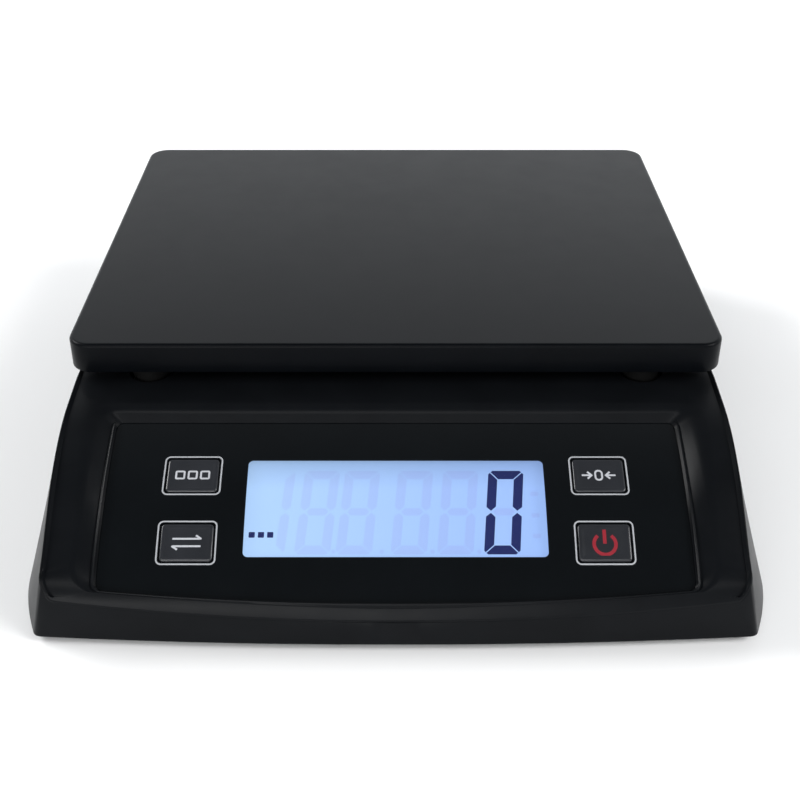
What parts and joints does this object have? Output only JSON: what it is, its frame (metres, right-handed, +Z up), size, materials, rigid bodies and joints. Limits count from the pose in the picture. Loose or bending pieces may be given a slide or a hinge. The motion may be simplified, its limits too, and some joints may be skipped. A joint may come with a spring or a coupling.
{
  "type": "counting scale",
  "caption": "Compact desktop counting scale: flat lift-off weighing platform on a wedge-fronted housing with a sloping control panel, backlit display and press keys.",
  "frame": {"origin": "centre of the scale's footprint, on the plane its feet stand on", "axes": "+X to the user's right, +Y away from the user towards the back, +Z up"},
  "size_m": [0.249, 0.259, 0.0675],
  "materials": {
    "housing_black": "satin moulded ABS, near black",
    "base_black": "fine-textured moulded ABS, black",
    "platform_black": "satin black platform, fine texture",
    "film_black": "glossy black printed film",
    "lcd_lens": "clear polished window",
    "lcd_cell": "light-blue backlit LCD with dark segments",
    "white_plastic": "white moulded plastic",
    "light_guide": "milky light guide",
    "pink_silicone": "layered silicone strip",
    "circuit_board": "green solder mask",
    "chip_black": "moulded chip body",
    "tin_plate": "tinned steel",
    "capacitor_sleeve": "printed sleeve over aluminium",
    "cream_nylon": "cream nylon",
    "key_grey": "smoky grey satin keys",
    "button_black": "moulded black",
    "steel_screw": "zinc-plated steel",
    "cell_aluminium": "milled aluminium",
    "white_silicone": "potting silicone",
    "steel_plate": "plated steel sheet",
    "cast_aluminium": "die-cast aluminium",
    "post_rubber": "black rubber",
    "foot_rubber": "black rubber",
    "battery_jacket": "plain printed jacket",
    "contact_steel": "nickel-plated spring steel",
    "lead_red": "PVC insulation",
    "lead_black": "PVC insulation",
    "cable_grey": "grey PVC jacket",
    "jack_black": "moulded black inlet"
  },
  "bodies": {
    "base": {"base_tray": "base_black", "upper_housing": "housing_black", "panel_film": "film_black", "lcd_window": "lcd_lens", "lcd_glass": "lcd_cell", "lcd_holder": "white_plastic", "backlight_panel": "light_guide", "lcd_connectors": "pink_silicone", "main_board": "circuit_board", "board_chips": "chip_black", "board_shield": "tin_plate", "board_capacitors": "capacitor_sleeve", "board_sockets": "cream_nylon", "buzzer": "button_black", "board_screws": "steel_screw", "key_switches": "button_black", "load_cell": "cell_aluminium", "gauge_seal": "white_silicone", "cell_plate": "steel_plate", "cell_lower_spacer": "cell_aluminium", "cell_lower_screws": "steel_screw", "stop_screws": "steel_screw", "stop_nuts": "steel_screw", "batteries": "battery_jacket", "battery_springs": "contact_steel", "battery_plates": "contact_steel", "battery_leads": "lead_red", "dc_jack": "jack_black", "jack_leads": "lead_black", "load_cell_cable": "cable_grey", "feet": "foot_rubber", "housing_screws": "steel_screw"},
    "load_frame": {"platform_support": "cast_aluminium", "support_caps": "post_rubber", "cell_upper_spacer": "cell_aluminium", "cell_upper_screws": "steel_screw"},
    "pan": {"weighing_platform": "platform_black"},
    "count_press": {"count_key": "key_grey", "count_button": "button_black"},
    "unit_press": {"unit_key": "key_grey", "unit_button": "button_black"},
    "tare_press": {"tare_key": "key_grey", "tare_button": "button_black"},
    "power_press": {"power_key": "key_grey", "power_button": "button_black"},
    "battery_cover": {"battery_door": "base_black"}
  },
  "joints": [
    {"name": "load_deflection", "type": "slide", "parent": "base", "child": "load_frame", "axis": [0, 0, -1], "range_m": [0, 0.0004], "stiffness_N_per_m": 736000, "deforming": ["load_cell", "gauge_seal"]},
    {"name": "platform_lift", "type": "slide", "parent": "load_frame", "child": "pan", "axis": [0, 0, 1], "range_m": [0, 0.05]},
    {"name": "count_key_press", "type": "slide", "parent": "base", "child": "count_press", "axis": [0, 0.4352, -0.9003], "range_m": [0, 0.0005], "stiffness_N_per_m": 2500, "springref_m": -0.0003},
    {"name": "unit_key_press", "type": "slide", "parent": "base", "child": "unit_press", "axis": [0, 0.4352, -0.9003], "range_m": [0, 0.0005], "stiffness_N_per_m": 2500, "springref_m": -0.0003},
    {"name": "tare_key_press", "type": "slide", "parent": "base", "child": "tare_press", "axis": [0, 0.4352, -0.9003], "range_m": [0, 0.0005], "stiffness_N_per_m": 2500, "springref_m": -0.0003},
    {"name": "power_key_press", "type": "slide", "parent": "base", "child": "power_press", "axis": [0, 0.4352, -0.9003], "range_m": [0, 0.0005], "stiffness_N_per_m": 2500, "springref_m": -0.0003},
    {"name": "battery_door_hinge", "type": "hinge", "parent": "base", "child": "battery_cover", "pos_m": [-0.0665, 0.0393, 0.0045], "axis": [1, 0, 0], "range_deg": [0, 95]}
  ]
}
